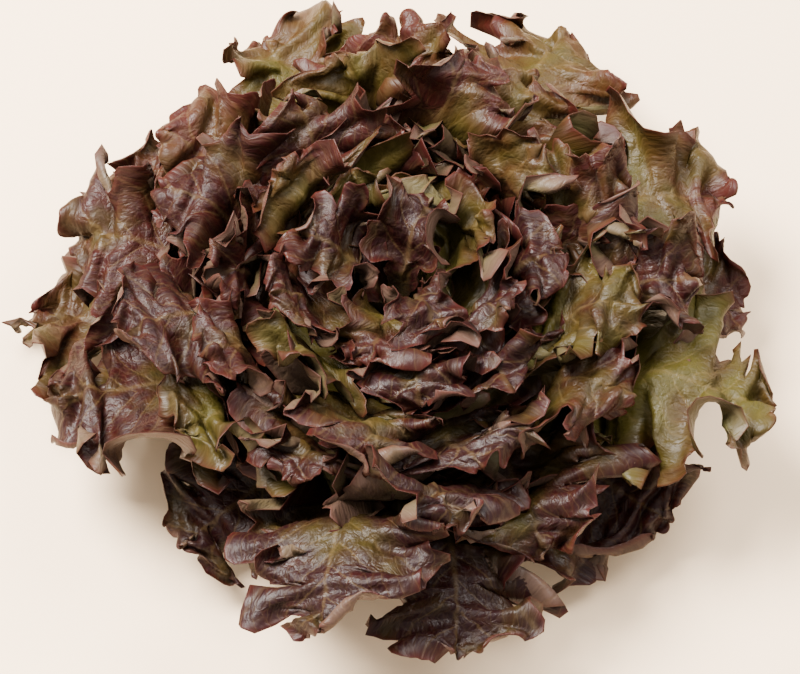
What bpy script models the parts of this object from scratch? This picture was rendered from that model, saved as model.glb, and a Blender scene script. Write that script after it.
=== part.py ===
# A whole head of red oak leaf lettuce, standing on its cut stem.
#
# The head is a stem stump and a spiral of separate leaves. Every leaf is one thin arched blade with
# a thick rib at its root, rounded lobes along both sides and a waved margin. The lowest leaves lie
# out over the surface, the middle ones rise and curl outwards, and the small ones stand round the
# heart with their tips bent outwards. Lengths are metres and +Z is up. The origin is the centre of
# the stem's cut face.

import math

import bpy
import numpy as np
from mathutils.bvhtree import BVHTree

# The stem stump: its outline is read from the cut face up to the growing tip.
STEM_HEIGHTS = (0.0, 0.0015, 0.007, 0.045, 0.049)
STEM_RADII = (0.0165, 0.0178, 0.0182, 0.0030, 0.0014)
STEM_SIDES = 28

# The spiral of leaves, from the lowest and longest to the small ones at the heart.
LEAF_COUNT = 50
SMALL_LEAVES_FROM = 27
OLIVE_LEAF_EVERY, FIRST_OLIVE_LEAF = 7, 3
SPIRAL_SEED = 11
GOLDEN_ANGLE = math.radians(137.508)
FIRST_AZIMUTH = math.radians(181.0)
ROOT_LOW, ROOT_HIGH = 0.0085, 0.0425
ROOT_GAP = 0.0004
LONGEST_LEAF, SHORTEST_LEAF = 0.150, 0.062
LENGTH_POWER = 1.7
WIDEST_LEAF, NARROWEST_LEAF = 0.100, 0.046
WIDTH_POWER = 1.5
WIDEST_ROOT, NARROWEST_ROOT = 0.0130, 0.0030
ROOT_WRAP, TIP_WRAP = 1.0, 1.7

# How far the leaves reach towards each side of the head, as a share of the usual length.
REACH_AZIMUTHS = (
    0, 15, 33, 50, 65, 85, 106, 119, 135, 160, 180,
    196, 213, 222, 238, 255, 276, 297, 318, 335, 349, 360,
)
REACH_SHARES = (
    0.94, 0.96, 1.05, 0.88, 1.17, 0.94, 0.94, 1.01, 0.95, 1.0, 1.01,
    1.03, 1.06, 0.76, 0.80, 1.28, 1.04, 1.06, 0.82, 1.03, 1.20, 0.94,
)

# The rib's slope in degrees along a leaf, 0 at the root and 1 at the tip, and how far it strays.
ARCH_PLACES = (0.0, 0.25, 0.6, 0.85, 1.05)
LOWEST_LEAF_SLOPES = np.array([40.0, 11.0, -3.0, -12.0, -20.0])
HEART_LEAF_SLOPES = np.array([84.0, 80.0, 55.0, 10.0, -25.0])
SLOPE_POWERS = np.array([0.75, 0.85, 0.95, 1.1, 1.2])
LOOSE_SLOPES = np.array([1.0, 3.0, 8.0, 16.0, 28.0])

# The blade's outline: its width along the leaf, and the rounded lobes with narrow hollows.
BLADE_PLACES = (0.0, 0.08, 0.18, 0.28, 0.36, 0.50, 0.65, 0.80, 0.92, 1.0)
BLADE_SHARES = (0.0, 0.01, 0.10, 0.42, 0.72, 0.97, 1.0, 0.86, 0.58, 0.20)
BLADE_BEGINS, LOBES_BEGIN = (0.20, 0.42), (0.30, 0.42)
FIRST_LOBE, LOBE_PITCH, LOBE_DEPTH = 0.34, 0.19, 0.42
LOBE_PLACES = FIRST_LOBE + LOBE_PITCH * np.arange(-1, 5)
SIDE_SWEEP, SWEEP_BEGINS, SWEEP_ENDS = 0.07, (0.15, 0.4), (0.6, 1.0)
TIP_ROUNDING, TIP_BEGINS = 0.01, (0.85, 1.0)

# How much the leaves differ from one another: ranges that each leaf draws from. Those of the heart
# are held closer than the rest.
AZIMUTH_SPREAD, SWING_SPREAD, ROLL_SPREAD = 0.05, 0.40, 0.50
SWING_BEGINS, ROLL_BEGINS = (0.1, 1.0), (0.15, 0.9)
LENGTH_SPREAD, WIDTH_SPREAD = (0.95, 1.04), (0.92, 1.08)
WAVE_BENDS, WAVE_COUNTS, WAVE_GROWTH = (0.60, 0.95), (2.4, 3.3), 1.3
LOBE_SPREAD, DEPTH_SPREAD = (0.82, 1.12), (0.75, 1.15)
HEART_LOOSENESS, HEART_WAVES = 0.70, 0.75

# The grid of points that each blade is made of. A large leaf has two rows to each lobe and one to
# each hollow, which makes the lobes round.
ROOT_ROWS_OF_LARGE_LEAF, TIP_ROWS_OF_LARGE_LEAF = (0.0, 0.08, 0.16, 0.23), (0.87, 0.94, 1.0)
ROOT_ROWS_OF_SMALL_LEAF, TIP_ROWS_OF_SMALL_LEAF = (0.0, 0.13, 0.25), (1.0,)
COLUMNS_OF_LARGE_LEAF = np.array([-1.0, -0.64, -0.3, 0.0, 0.3, 0.64, 1.0])
COLUMNS_OF_SMALL_LEAF = np.array([-1.0, -0.52, 0.0, 0.52, 1.0])
CUP_BEGINS, LEAST_RISE = (0.0, 0.15), 0.05

# Thickness of the blade and of the rib at the root, and where the rib fades out.
BLADE_THICKNESS = 0.0008
THICKEST_ROOT, THINNEST_ROOT = 0.0021, 0.0009
RIB_FADES, RIB_NARROWS, RIB_HALF_WIDTH = (0.05, 0.75), (0.05, 0.3), 0.3
FLOOR_GAP = 0.0006
FLOOR_SOFTNESS = 0.0025
LOWEST_POINT = BLADE_THICKNESS / 2.0 + FLOOR_GAP

# Bending neighbouring leaves clear of each other.
CLEARANCE = 0.0007
PUSH_STEP = 0.0006
MOST_SWEEPS = 400
SPREAD_PASSES = 4

# Where curves along and across a leaf are added up.
ACROSS = np.linspace(0.0, 1.0, 25)
ALONG = np.linspace(0.0, 1.05, 85)


def smooth(span, x):
    """0 below the span, 1 above it and a smooth S inside it."""
    low, high = span
    t = np.clip((x - low) / (high - low), 0.0, 1.0)
    return t * t * (3.0 - 2.0 * t)


def mix(a, b, share):
    return a + (b - a) * share


def stem_radius(height):
    return float(np.interp(height, STEM_HEIGHTS, STEM_RADII))


def grid_rows(small):
    """Places of the grid's rows along a large or a small leaf."""
    if small:
        lobes = FIRST_LOBE + LOBE_PITCH / 2.0 * np.arange(7)
        return np.concatenate([ROOT_ROWS_OF_SMALL_LEAF, lobes, TIP_ROWS_OF_SMALL_LEAF])
    sides_and_hollow = LOBE_PITCH * np.array([-0.25, 0.25, 0.5])
    lobes = np.add.outer(FIRST_LOBE + LOBE_PITCH * np.arange(3), sides_and_hollow)
    return np.concatenate([ROOT_ROWS_OF_LARGE_LEAF, lobes.reshape(-1), TIP_ROWS_OF_LARGE_LEAF])


def leaf_plan(number):
    """Where one leaf grows and how it is bent, from its place in the spiral."""
    draw = np.random.default_rng([SPIRAL_SEED, number])
    age = number / (LEAF_COUNT - 1)
    azimuth = FIRST_AZIMUTH + number * GOLDEN_ANGLE + draw.uniform(-1.0, 1.0) * AZIMUTH_SPREAD
    reach = np.interp(math.degrees(azimuth) % 360.0, REACH_AZIMUTHS, REACH_SHARES)
    root_height = mix(ROOT_LOW, ROOT_HIGH, age)
    root_thickness = mix(THICKEST_ROOT, THINNEST_ROOT, age)
    length = mix(LONGEST_LEAF, SHORTEST_LEAF, age ** LENGTH_POWER) * mix(reach, 1.0, age)
    width = mix(WIDEST_LEAF, NARROWEST_LEAF, age ** WIDTH_POWER)
    slopes = mix(LOWEST_LEAF_SLOPES, HEART_LEAF_SLOPES, age ** SLOPE_POWERS)
    loose = mix(1.0, HEART_LOOSENESS, age)
    return {
        "azimuth": azimuth,
        "root_height": root_height,
        "root_radius": stem_radius(root_height) + ROOT_GAP + root_thickness / 2.0,
        "root_thickness": root_thickness,
        "length": length * draw.uniform(*LENGTH_SPREAD),
        "width": width * draw.uniform(*WIDTH_SPREAD),
        "root_width": mix(WIDEST_ROOT, NARROWEST_ROOT, age),
        "slopes": np.radians(slopes + LOOSE_SLOPES * loose * draw.uniform(-1.0, 1.0)),
        "swing": SWING_SPREAD * loose * draw.uniform(-1.0, 1.0),
        "roll": ROLL_SPREAD * loose * draw.uniform(-1.0, 1.0),
        "wave": draw.uniform(*WAVE_BENDS, 2) * mix(1.0, HEART_WAVES, age),
        "wave_count": draw.uniform(*WAVE_COUNTS, 2),
        "wave_phase": draw.uniform(0.0, 2.0 * math.pi, 2),
        "lobe_shares": draw.uniform(*LOBE_SPREAD, (2, len(LOBE_PLACES))),
        "lobe_depth": LOBE_DEPTH * draw.uniform(*DEPTH_SPREAD),
    }


def half_width(plan, u, side, distance):
    """Half the blade's width at u: a narrow root, a broad blade, and lobes with hollows between
    them. Near the stem it is held to what fits round it at that distance."""
    outline = np.interp(u, BLADE_PLACES, BLADE_SHARES)
    swell = (0.5 - 0.5 * np.cos(2.0 * math.pi * (u - FIRST_LOBE) / LOBE_PITCH)) ** 2
    hollow = plan["lobe_depth"] * swell * smooth(LOBES_BEGIN, u)
    shares = np.interp(u, LOBE_PLACES, plan["lobe_shares"][side])
    blade = plan["width"] / 2.0 * outline * (1.0 - hollow) * shares
    wide = plan["root_width"] / 2.0 + blade
    most = mix(ROOT_WRAP, TIP_WRAP, u) * distance
    return most * np.tanh(wide / most)


def rib_frames(plan):
    """The rib's points, the directions beside it and to the heart, and its slope, at ALONG. The
    points are worked out by adding up the slope."""
    slope = np.interp(ALONG, ARCH_PLACES, plan["slopes"])
    heading = plan["azimuth"] + plan["swing"] * smooth(SWING_BEGINS, ALONG)
    roll = plan["roll"] * smooth(ROLL_BEGINS, ALONG)
    level = np.zeros_like(ALONG)
    forward = np.stack([np.cos(slope) * np.cos(heading), np.cos(slope) * np.sin(heading), np.sin(slope)], 1)
    sideways = np.stack([-np.sin(heading), np.cos(heading), level], 1)
    upper = np.cross(forward, sideways)
    side = sideways * np.cos(roll)[:, None] + upper * np.sin(roll)[:, None]
    up = upper * np.cos(roll)[:, None] - sideways * np.sin(roll)[:, None]
    steps = (forward[1:] + forward[:-1]) / 2.0 * np.diff(ALONG)[:, None] * plan["length"]
    root = np.array([math.cos(plan["azimuth"]), math.sin(plan["azimuth"]), 0.0]) * plan["root_radius"]
    root[2] = plan["root_height"]
    points = root + np.concatenate([np.zeros((1, 3)), np.cumsum(steps, 0)])
    inward = -np.stack([np.cos(heading), np.sin(heading), level], 1)
    cup = mix(inward, up, smooth(CUP_BEGINS, ALONG)[:, None])
    cup /= np.linalg.norm(cup, axis=1)[:, None]
    return points, side, cup, slope


def read_along(values, places):
    """values, one row for each place in ALONG, read at other places."""
    return np.stack([np.interp(places, ALONG, values[:, axis]) for axis in range(3)], -1)


def leaf_surface(plan, u, v):
    """Points of the leaf's middle surface on the grid of u (root to tip) by v (side to side), and
    the direction there that points to the heart. Each half row is a curve whose bend is added up
    from the rib outwards: a steady bend round the stem, and waves that grow towards the margin."""
    points, side, cup, slope = rib_frames(plan)
    distance = np.maximum(np.hypot(points[:, 0], points[:, 1]), plan["root_radius"])
    steady = np.interp(u, ALONG, mix(1.0, np.sin(slope), smooth(CUP_BEGINS, ALONG)) / distance)
    away = np.interp(u, ALONG, distance / np.maximum(np.sin(np.abs(slope)), LEAST_RISE))
    blade = smooth(BLADE_BEGINS, u)
    spots = np.zeros((len(u), len(v), 3))
    lifts = np.zeros_like(spots)
    sweep = SIDE_SWEEP * smooth(SWEEP_BEGINS, u) * (1.0 - smooth(SWEEP_ENDS, u))
    rounding = TIP_ROUNDING * smooth(TIP_BEGINS, u)
    for hand, sign in ((0, -1.0), (1, 1.0)):
        width = half_width(plan, u, hand, away)
        phase = 2.0 * math.pi * plan["wave_count"][hand] * u + plan["wave_phase"][hand]
        waves = plan["wave"][hand] * (blade * np.sin(phase))[:, None] * ACROSS ** WAVE_GROWTH
        bend = (steady * width)[:, None] * ACROSS + waves
        gap = ACROSS[1]
        out = np.cumsum((np.cos(bend[:, 1:]) + np.cos(bend[:, :-1])) / 2.0, 1) * gap
        rise = np.cumsum((np.sin(bend[:, 1:]) + np.sin(bend[:, :-1])) / 2.0, 1) * gap
        out = np.concatenate([np.zeros((len(u), 1)), out], 1) * width[:, None]
        rise = np.concatenate([np.zeros((len(u), 1)), rise], 1) * width[:, None]
        for column, place in enumerate(v):
            if place * sign < 0.0 or (place == 0.0 and hand == 1):
                continue
            share = abs(place)
            along = u + sweep * share - rounding * share ** 2
            sideways, upward = read_along(side, along), read_along(cup, along)
            shift = np.array([np.interp(share, ACROSS, row) for row in out])[:, None]
            lift = np.array([np.interp(share, ACROSS, row) for row in rise])[:, None]
            spots[:, column] = read_along(points, along) + sign * sideways * shift + upward * lift
            turn = (steady * width * share)[:, None]
            lifts[:, column] = upward * np.cos(turn) - sign * sideways * np.sin(turn)
    return spots, lifts


def above_floor(spots):
    """The same points with their heights eased up where they would go through the surface below."""
    eased = spots.copy()
    height = (spots[..., 2] - LOWEST_POINT) / FLOOR_SOFTNESS
    eased[..., 2] = LOWEST_POINT + FLOOR_SOFTNESS * np.logaddexp(0.0, height)
    return eased


def grid_triangles(spots):
    """Corner numbers of the grid's triangles, wound so that they face the heart. Each square of the
    grid is cut along its shorter diagonal."""
    rows, columns = spots.shape[:2]
    corner = np.arange(rows * columns).reshape(rows, columns)
    a, b = corner[:-1, :-1].reshape(-1), corner[1:, :-1].reshape(-1)
    c, d = corner[1:, 1:].reshape(-1), corner[:-1, 1:].reshape(-1)
    flat = spots.reshape(-1, 3)
    shorter = np.linalg.norm(flat[a] - flat[c], axis=1) < np.linalg.norm(flat[b] - flat[d], axis=1)
    first = np.where(shorter, [a, b, c], [a, b, d])
    second = np.where(shorter, [a, c, d], [b, c, d])
    return np.concatenate([first.T, second.T])


def corner_normals(spots, triangles):
    flat = spots.reshape(-1, 3)
    p, q, r = (flat[triangles[:, corner]] for corner in range(3))
    faces = np.cross(q - p, r - p)
    normals = np.zeros_like(flat)
    for corner in range(3):
        np.add.at(normals, triangles[:, corner], faces)
    return normals / np.maximum(np.linalg.norm(normals, axis=1), 1e-12)[:, None]


def thickness_share(rows, columns):
    """1 at the root's rib and 0 over the blade, on the grid."""
    u, v = rows[:, None], columns[None, :]
    rib = np.exp(-(v / RIB_HALF_WIDTH) ** 2)
    return (1.0 - smooth(RIB_FADES, u)) * mix(1.0, rib, smooth(RIB_NARROWS, u))


def make_leaf(number):
    """One leaf as a grid of points with what bending it clear needs."""
    plan = leaf_plan(number)
    small = number >= SMALL_LEAVES_FROM
    rows = grid_rows(small)
    columns = COLUMNS_OF_SMALL_LEAF if small else COLUMNS_OF_LARGE_LEAF
    spots, lifts = leaf_surface(plan, rows, columns)
    free = rows[:, None] > 0.0
    return {
        "name": f"leaf_{number + 1:02d}",
        "spots": above_floor(spots),
        "lifts": lifts / np.linalg.norm(lifts, axis=2)[..., None],
        "triangles": grid_triangles(spots),
        "thick": thickness_share(rows, columns),
        "root_thickness": plan["root_thickness"],
        "free": np.repeat(free, len(columns), 1).astype(float),
        "gives_way": (1.0 - number / LEAF_COUNT) ** 2,
    }


def leaf_tree(leaf):
    """A search tree of the leaf's two faces and its rim, made thicker by the clearance."""
    triangles = leaf["triangles"]
    flat = leaf["spots"].reshape(-1, 3)
    thickness = mix(BLADE_THICKNESS, leaf["root_thickness"], leaf["thick"].reshape(-1))
    half = (thickness + CLEARANCE) / 2.0
    shift = corner_normals(leaf["spots"], triangles) * half[:, None]
    corners = np.concatenate([flat + shift, flat - shift])
    count = len(flat)
    rows, columns = leaf["thick"].shape
    grid = np.arange(count).reshape(rows, columns)
    ring = np.concatenate([grid[0, :], grid[1:, -1], grid[-1, -2::-1], grid[-2:0:-1, 0]])
    after = np.roll(ring, -1)
    near, far = [ring, after, after + count], [ring, after + count, ring + count]
    faces = np.concatenate([triangles, triangles + count, np.stack(near, 1), np.stack(far, 1)])
    return BVHTree.FromPolygons(corners.tolist(), faces.tolist(), all_triangles=True), faces % count


def spread(mask):
    """A push on single grid points, spread over their neighbours so that the blade stays smooth."""
    field = mask
    for _ in range(SPREAD_PASSES):
        padded = np.pad(field, 1, mode="edge")
        ring = padded[:-2, 1:-1] + padded[2:, 1:-1] + padded[1:-1, :-2] + padded[1:-1, 2:]
        field = np.maximum(mask, (field * 2.0 + ring) / 6.0)
    return field


def bend_clear(leaves):
    """Bends the leaves apart in small steps until no two cross, the inner one towards the heart and
    the outer one away from it, and prints the pairs that still cross. The nearer a leaf is to the
    heart, the less it gives way inwards."""
    crossing = []
    for sweep in range(MOST_SWEEPS):
        trees = [leaf_tree(leaf) for leaf in leaves]
        lows = np.array([leaf["spots"].min((0, 1)) for leaf in leaves])
        highs = np.array([leaf["spots"].max((0, 1)) for leaf in leaves])
        pushes = [np.zeros((2,) + leaf["thick"].shape) for leaf in leaves]
        crossing = []
        for outer in range(len(leaves)):
            for inner in range(outer + 1, len(leaves)):
                if (lows[outer] > highs[inner]).any() or (lows[inner] > highs[outer]).any():
                    continue
                hits = trees[outer][0].overlap(trees[inner][0])
                if not hits:
                    continue
                crossing.append((outer, inner))
                hits = np.array(hits)
                pushes[outer][0].reshape(-1)[trees[outer][1][hits[:, 0]].reshape(-1)] = 1.0
                pushes[inner][1].reshape(-1)[trees[inner][1][hits[:, 1]].reshape(-1)] = 1.0
        if not crossing:
            break
        for leaf, (outward, inward) in zip(leaves, pushes):
            amount = (spread(inward) * leaf["gives_way"] - spread(outward)) * PUSH_STEP
            leaf["spots"] += leaf["lifts"] * (amount * leaf["free"])[..., None]
            leaf["spots"][..., 2] = np.maximum(leaf["spots"][..., 2], LOWEST_POINT)
    print("sweeps", sweep, "pairs still crossing", crossing)


def material(name, colour, roughness):
    made = bpy.data.materials.new(name)
    made.use_nodes = True
    shader = made.node_tree.nodes["Principled BSDF"]
    shader.inputs["Base Color"].default_value = (*colour, 1.0)
    shader.inputs["Roughness"].default_value = roughness
    return made


def add_object(name, mesh, look):
    thing = bpy.data.objects.new(name, mesh)
    bpy.context.scene.collection.objects.link(thing)
    mesh.materials.append(look)
    mesh.shade_smooth()
    mesh.set_sharp_from_angle(angle=math.radians(50))
    return thing


def add_leaf(leaf, look):
    """The leaf's object: its middle surface, given its thickness by a Solidify modifier."""
    mesh = bpy.data.meshes.new(leaf["name"])
    mesh.from_pydata(leaf["spots"].reshape(-1, 3).tolist(), [], leaf["triangles"].tolist())
    thing = add_object(leaf["name"], mesh, look)
    group = thing.vertex_groups.new(name="thickness")
    for index, share in enumerate(leaf["thick"].reshape(-1)):
        group.add([index], float(share), "REPLACE")
    shell = thing.modifiers.new("thickness", "SOLIDIFY")
    shell.thickness = leaf["root_thickness"]
    shell.offset = 0.0
    shell.vertex_group = group.name
    shell.thickness_vertex_group = BLADE_THICKNESS / leaf["root_thickness"]
    return thing


def add_stem(look):
    """The stump, a turned solid with a flat cut face below and the growing tip above."""
    turns = np.linspace(0.0, 2.0 * math.pi, STEM_SIDES, endpoint=False)
    corners = []
    for height, radius in zip(STEM_HEIGHTS, STEM_RADII):
        corners += [(radius * math.cos(turn), radius * math.sin(turn), height) for turn in turns]
    faces = [tuple(reversed(range(STEM_SIDES)))]
    for level in range(len(STEM_HEIGHTS) - 1):
        for at in range(STEM_SIDES):
            near, far = level * STEM_SIDES + at, level * STEM_SIDES + (at + 1) % STEM_SIDES
            faces.append((near, far, far + STEM_SIDES, near + STEM_SIDES))
    faces.append(tuple(range(len(corners) - STEM_SIDES, len(corners))))
    mesh = bpy.data.meshes.new("stem")
    mesh.from_pydata(corners, [], faces)
    return add_object("stem", mesh, look)


def main():
    for thing in list(bpy.data.objects):
        bpy.data.objects.remove(thing)
    add_stem(material("pale_stem", (0.72, 0.74, 0.52), 0.5))
    red = material("red_leaf", (0.13, 0.045, 0.04), 0.45)
    olive = material("olive_leaf", (0.20, 0.17, 0.06), 0.45)
    leaves = [make_leaf(number) for number in range(LEAF_COUNT)]
    bend_clear(leaves)
    for count, leaf in enumerate(leaves, 1):
        add_leaf(leaf, olive if count % OLIVE_LEAF_EVERY == FIRST_OLIVE_LEAF else red)


main()
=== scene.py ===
# A head of red oak leaf lettuce on a pale studio floor: fine ruffled leaves in place of the packed
# frame's plain ones, and a cut stem. Lengths are metres.
import math
import time

import bpy
import numpy as np
from mathutils import Matrix, Vector
from mathutils.bvhtree import BVHTree


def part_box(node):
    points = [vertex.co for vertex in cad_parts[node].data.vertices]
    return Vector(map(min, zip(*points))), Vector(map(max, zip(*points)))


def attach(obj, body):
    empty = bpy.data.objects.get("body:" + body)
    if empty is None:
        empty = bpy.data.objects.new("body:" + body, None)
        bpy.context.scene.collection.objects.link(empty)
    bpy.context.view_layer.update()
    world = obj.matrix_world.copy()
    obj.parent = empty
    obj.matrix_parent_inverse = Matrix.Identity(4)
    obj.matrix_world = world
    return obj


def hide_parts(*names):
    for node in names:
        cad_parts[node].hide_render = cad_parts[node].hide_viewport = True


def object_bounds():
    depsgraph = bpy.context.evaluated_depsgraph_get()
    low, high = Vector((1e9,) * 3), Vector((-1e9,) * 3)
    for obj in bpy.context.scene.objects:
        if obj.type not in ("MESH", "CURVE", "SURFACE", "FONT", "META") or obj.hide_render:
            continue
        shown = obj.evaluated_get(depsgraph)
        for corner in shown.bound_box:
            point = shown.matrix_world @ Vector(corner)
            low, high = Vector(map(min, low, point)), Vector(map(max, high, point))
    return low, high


startTime = time.time()
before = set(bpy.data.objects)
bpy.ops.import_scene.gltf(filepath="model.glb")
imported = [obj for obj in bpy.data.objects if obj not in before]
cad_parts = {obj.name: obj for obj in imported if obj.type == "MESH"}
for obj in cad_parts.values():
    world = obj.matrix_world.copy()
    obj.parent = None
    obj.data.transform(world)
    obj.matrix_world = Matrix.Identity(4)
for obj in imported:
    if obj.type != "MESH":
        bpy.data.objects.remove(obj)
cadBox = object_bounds()


def report(stage):
    print(f"{stage}: {time.time() - startTime:.1f} s")


# The form of the head and its blades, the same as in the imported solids.
headForm = {
    "leafCount": 50,
    "smallFrom": 27,
    "oliveEvery": 7,
    "firstOlive": 3,
    "seed": 11,
    "goldenAngle": math.radians(137.508),
    "firstAzimuth": math.radians(181.0),
    "stemHeights": (0.0, 0.0015, 0.007, 0.045, 0.049),
    "stemRadii": (0.0165, 0.0178, 0.0182, 0.0030, 0.0014),
    "rootHeights": (0.0085, 0.0425),
    "rootGap": 0.0004,
    "lengths": (0.150, 0.062),
    "lengthPower": 1.7,
    "widths": (0.100, 0.046),
    "widthPower": 1.5,
    "rootWidths": (0.0130, 0.0030),
    "wraps": (1.0, 1.7),
    "rootThicknesses": (0.0021, 0.0009),
    "bladeThickness": 0.0008,
    "lowestPoint": 0.0010,
    "floorSoftness": 0.0025,
    "clearance": 0.0007,
    "pushStep": 0.0006,
    "mostSweeps": 400,
    "spreadPasses": 4,
    "placeTolerance": 0.0025,
}
reachAzimuths = (
    0, 15, 33, 50, 65, 85, 106, 119, 135, 160, 180,
    196, 213, 222, 238, 255, 276, 297, 318, 335, 349, 360,
)
reachShares = (
    0.94, 0.96, 1.05, 0.88, 1.17, 0.94, 0.94, 1.01, 0.95, 1.0, 1.01,
    1.03, 1.06, 0.76, 0.80, 1.28, 1.04, 1.06, 0.82, 1.03, 1.20, 0.94,
)
bladeForm = {
    "archPlaces": (0.0, 0.25, 0.6, 0.85, 1.05),
    "lowestSlopes": np.array([40.0, 11.0, -3.0, -12.0, -20.0]),
    "heartSlopes": np.array([84.0, 80.0, 55.0, 10.0, -25.0]),
    "slopePowers": np.array([0.75, 0.85, 0.95, 1.1, 1.2]),
    "looseSlopes": np.array([1.0, 3.0, 8.0, 16.0, 28.0]),
    "places": (0.0, 0.08, 0.18, 0.28, 0.36, 0.50, 0.65, 0.80, 0.92, 1.0),
    "shares": (0.0, 0.01, 0.10, 0.42, 0.72, 0.97, 1.0, 0.86, 0.58, 0.20),
    "bladeBegins": (0.20, 0.42),
    "lobesBegin": (0.30, 0.42),
    "firstLobe": 0.34,
    "lobePitch": 0.19,
    "lobeDepth": 0.42,
    "sideSweep": 0.07,
    "sweepBegins": (0.15, 0.4),
    "sweepEnds": (0.6, 1.0),
    "tipRounding": 0.01,
    "tipBegins": (0.85, 1.0),
    "azimuthSpread": 0.05,
    "swingSpread": 0.40,
    "rollSpread": 0.50,
    "swingBegins": (0.1, 1.0),
    "rollBegins": (0.15, 0.9),
    "lengthSpread": (0.95, 1.04),
    "widthSpread": (0.92, 1.08),
    "waveBends": (0.60, 0.95),
    "waveCounts": (2.4, 3.3),
    "waveGrowth": 1.3,
    "lobeSpread": (0.82, 1.12),
    "depthSpread": (0.75, 1.15),
    "heartLooseness": 0.70,
    "heartWaves": 0.75,
    "cupBegins": (0.0, 0.15),
    "leastRise": 0.05,
    "ribFades": (0.05, 0.75),
    "ribNarrows": (0.05, 0.3),
    "ribHalfWidth": 0.3,
    "rootRows": (0.0, 0.08, 0.16, 0.23),
    "lobeRows": np.array([-0.25, 0.25, 0.5]),
    "lobeCount": 3,
    "tipRows": (0.87, 0.94, 1.0),
    "smallRootRows": (0.0, 0.13, 0.25),
    "smallLobeRows": 7,
}
lobePlaces = bladeForm["firstLobe"] + bladeForm["lobePitch"] * np.arange(-1, 5)
coarseColumns = {
    "large": np.array([-1.0, -0.64, -0.3, 0.0, 0.3, 0.64, 1.0]),
    "small": np.array([-1.0, -0.52, 0.0, 0.52, 1.0]),
}
# The fine places that bends are added up at: across half a blade, and along its rib and just past it.
across = np.linspace(0.0, 1.0, 25)
along = np.linspace(0.0, 1.05, 85)


# A smooth step: 0 below the span, 3t^2 - 2t^3 inside it and 1 above.
def smooth(span, x):
    low, high = span
    t = np.clip((x - low) / (high - low), 0.0, 1.0)
    return t * t * (3.0 - 2.0 * t)


# The straight mix a + (b - a) share.
def mix(a, b, share):
    return a + (b - a) * share


# Every seventh leaf is olive.
def isOlive(number):
    return (number + 1) % headForm["oliveEvery"] == headForm["firstOlive"]


# The stem's radius at a height, mixed between the points of its outline.
def stemRadius(height):
    return float(np.interp(height, headForm["stemHeights"], headForm["stemRadii"]))


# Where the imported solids' rows lie, as shares of the length: a large blade has three rows to each
# lobe and a small one has two.
def coarseRows(small):
    first, pitch = bladeForm["firstLobe"], bladeForm["lobePitch"]
    if small:
        lobes = first + pitch / 2.0 * np.arange(bladeForm["smallLobeRows"])
        return np.concatenate([bladeForm["smallRootRows"], lobes, [1.0]])
    lobes = np.add.outer(first + pitch * np.arange(bladeForm["lobeCount"]), pitch * bladeForm["lobeRows"])
    return np.concatenate([bladeForm["rootRows"], lobes.reshape(-1), bladeForm["tipRows"]])


# Where one leaf grows and how it bends, drawn from its place in the spiral.
def leafPlan(number):
    draw = np.random.default_rng([headForm["seed"], number])
    age = number / (headForm["leafCount"] - 1)
    spread = draw.uniform(-1.0, 1.0) * bladeForm["azimuthSpread"]
    azimuth = headForm["firstAzimuth"] + number * headForm["goldenAngle"] + spread
    reach = np.interp(math.degrees(azimuth) % 360.0, reachAzimuths, reachShares)
    rootHeight = mix(*headForm["rootHeights"], age)
    rootThickness = mix(*headForm["rootThicknesses"], age)
    length = mix(*headForm["lengths"], age ** headForm["lengthPower"]) * mix(reach, 1.0, age)
    width = mix(*headForm["widths"], age ** headForm["widthPower"])
    slopes = mix(bladeForm["lowestSlopes"], bladeForm["heartSlopes"], age ** bladeForm["slopePowers"])
    loose = mix(1.0, bladeForm["heartLooseness"], age)
    return {
        "age": age,
        "azimuth": azimuth,
        "rootHeight": rootHeight,
        "rootRadius": stemRadius(rootHeight) + headForm["rootGap"] + rootThickness / 2.0,
        "rootThickness": rootThickness,
        "length": length * draw.uniform(*bladeForm["lengthSpread"]),
        "width": width * draw.uniform(*bladeForm["widthSpread"]),
        "rootWidth": mix(*headForm["rootWidths"], age),
        "slopes": np.radians(slopes + bladeForm["looseSlopes"] * loose * draw.uniform(-1.0, 1.0)),
        "swing": bladeForm["swingSpread"] * loose * draw.uniform(-1.0, 1.0),
        "roll": bladeForm["rollSpread"] * loose * draw.uniform(-1.0, 1.0),
        "wave": draw.uniform(*bladeForm["waveBends"], 2) * mix(1.0, bladeForm["heartWaves"], age),
        "waveCount": draw.uniform(*bladeForm["waveCounts"], 2),
        "wavePhase": draw.uniform(0.0, 2.0 * math.pi, 2),
        "lobeShares": draw.uniform(*bladeForm["lobeSpread"], (2, len(lobePlaces))),
        "lobeDepth": bladeForm["lobeDepth"] * draw.uniform(*bladeForm["depthSpread"]),
    }


# Half the blade's width: the outline times the lobes, held by a tanh to what fits round the stem.
def halfWidth(plan, u, side, distance):
    outline = np.interp(u, bladeForm["places"], bladeForm["shares"])
    turn = 2.0 * math.pi * (u - bladeForm["firstLobe"]) / bladeForm["lobePitch"]
    swell = (0.5 - 0.5 * np.cos(turn)) ** 2
    hollow = plan["lobeDepth"] * swell * smooth(bladeForm["lobesBegin"], u)
    shares = np.interp(u, lobePlaces, plan["lobeShares"][side])
    blade = plan["width"] / 2.0 * outline * (1.0 - hollow) * shares
    most = mix(*headForm["wraps"], u) * distance
    return most * np.tanh((plan["rootWidth"] / 2.0 + blade) / most)


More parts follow.
